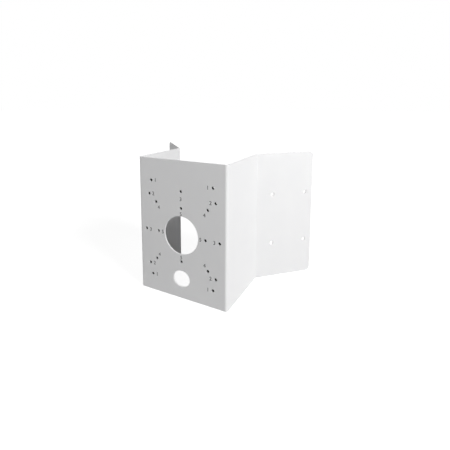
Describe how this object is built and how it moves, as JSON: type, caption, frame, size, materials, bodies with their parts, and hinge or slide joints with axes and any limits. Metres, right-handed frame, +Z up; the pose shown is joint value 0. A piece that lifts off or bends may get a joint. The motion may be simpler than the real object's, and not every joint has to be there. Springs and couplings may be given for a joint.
{
  "type": "camera corner mount bracket",
  "caption": "Folded steel bracket that holds a security camera on a building's outer corner: flat plate with camera hole patterns, square side walls and angled screw wings.",
  "frame": {"origin": "under the middle of the overall box, on the lower edges that the bracket stands on", "axes": "+Z up; -Y out of the camera plate's front; +X to the right, seen from the front; +Y back to the building"},
  "size_m": [0.3298, 0.2036, 0.235],
  "materials": {
    "powder_coat": "satin",
    "printed_digits": "matt",
    "nut_thread": "satin"
  },
  "bodies": {
    "root": {"corner_bracket": "powder_coat"}
  },
  "joints": []
}
